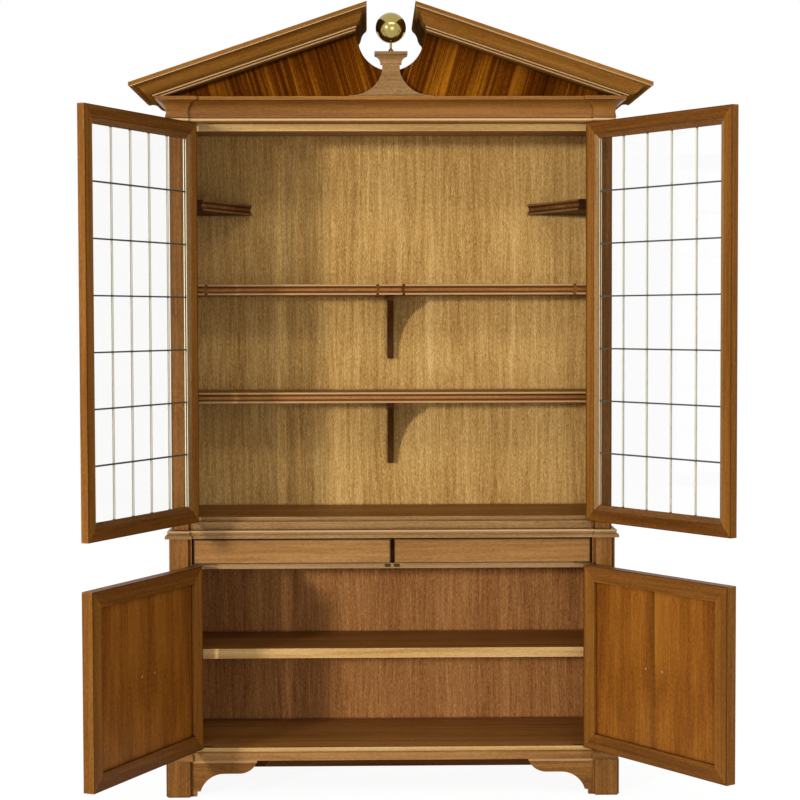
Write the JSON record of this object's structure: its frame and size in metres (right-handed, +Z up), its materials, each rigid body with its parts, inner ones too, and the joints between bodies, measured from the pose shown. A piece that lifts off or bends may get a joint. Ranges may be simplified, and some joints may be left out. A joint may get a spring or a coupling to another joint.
{
  "type": "tall cabinet",
  "caption": "Tall glazed display hutch on a cupboard base with drawers, hinged doors, shelves, bracket feet and a broken triangular pediment with a ball finial.",
  "frame": {"origin": "floor level, on the centre line and at half the depth of the base", "axes": "+X to the right seen from the front, +Y to the back, +Z up"},
  "size_m": [1.6852, 0.9317, 2.2175],
  "materials": {
    "polished_wood": "satin varnish, red-brown",
    "inside_wood": "satin varnish, golden brown",
    "dark_wood": "gloss varnish, dark stripes",
    "plain_wood": "bare, lightly sealed",
    "brass": "polished",
    "glass": "clear"
  },
  "bodies": {
    "cabinet": {"base_sides": "polished_wood", "base_stiles": "polished_wood", "pilasters": "polished_wood", "base_top": "polished_wood", "waist_moulding": "polished_wood", "base_moulding": "polished_wood", "feet": "polished_wood", "foot_brackets": "polished_wood", "base_rail": "polished_wood", "hutch_sides": "polished_wood", "hutch_stiles": "polished_wood", "hutch_plinth": "polished_wood", "frieze": "polished_wood", "cornice": "polished_wood", "raking_crowns": "polished_wood", "top_rail": "polished_wood", "base_back": "inside_wood", "base_floor": "inside_wood", "lower_shelf": "inside_wood", "hutch_back": "inside_wood", "hutch_floor": "inside_wood", "straight_shelf": "inside_wood", "stepped_shelf": "inside_wood", "corner_shelves": "inside_wood", "shelf_brackets": "inside_wood", "drawer_rail": "inside_wood", "tympanum": "dark_wood", "pedestal": "dark_wood", "pedestal_cap": "dark_wood", "front_cleat": "plain_wood", "drawer_framing": "plain_wood", "hutch_top": "plain_wood", "roof_boards": "plain_wood", "finial": "brass", "catch_strikes": "brass", "fixed_hinge_leaves": "brass", "shelf_pins": "brass"},
    "upper_left_door": {"upper_left_door_frame": "polished_wood", "upper_left_door_glazing_beads": "polished_wood", "upper_left_door_hinge_leaves": "brass", "upper_left_door_cames": "brass", "upper_left_door_glass": "glass"},
    "upper_right_door": {"upper_right_door_frame": "polished_wood", "upper_right_door_glazing_beads": "polished_wood", "upper_right_door_hinge_leaves": "brass", "upper_right_door_cames": "brass", "upper_right_door_glass": "glass"},
    "lower_left_door": {"lower_left_door_frame": "polished_wood", "lower_left_door_panel": "polished_wood", "lower_left_pull": "brass", "lower_left_door_hinge_leaves": "brass"},
    "lower_right_door": {"lower_right_door_frame": "polished_wood", "lower_right_door_panel": "polished_wood", "lower_right_pull": "brass", "lower_right_door_hinge_leaves": "brass"},
    "left_drawer": {"left_drawer_front": "polished_wood", "left_drawer_box": "plain_wood"},
    "right_drawer": {"right_drawer_front": "polished_wood", "right_drawer_box": "plain_wood"}
  },
  "joints": [
    {"name": "upper_left_door_hinge", "type": "hinge", "parent": "cabinet", "child": "upper_left_door", "pos_m": [-0.565, -0.1865, 1.335], "axis": [0, 0, 1], "range_deg": [-25, 115]},
    {"name": "upper_right_door_hinge", "type": "hinge", "parent": "cabinet", "child": "upper_right_door", "pos_m": [0.565, -0.1865, 1.335], "axis": [0, 0, 1], "range_deg": [-125.2, 14.8]},
    {"name": "lower_left_door_hinge", "type": "hinge", "parent": "cabinet", "child": "lower_left_door", "pos_m": [-0.565, -0.2045, 0.397], "axis": [0, 0, 1], "range_deg": [-25.3, 114.7]},
    {"name": "lower_right_door_hinge", "type": "hinge", "parent": "cabinet", "child": "lower_right_door", "pos_m": [0.565, -0.2045, 0.397], "axis": [0, 0, 1], "range_deg": [-124.6, 15.4]},
    {"name": "left_drawer_slide", "type": "slide", "parent": "cabinet", "child": "left_drawer", "axis": [0, -1, 0], "range_m": [0, 0.25]},
    {"name": "right_drawer_slide", "type": "slide", "parent": "cabinet", "child": "right_drawer", "axis": [0, -1, 0], "range_m": [0, 0.25]}
  ]
}
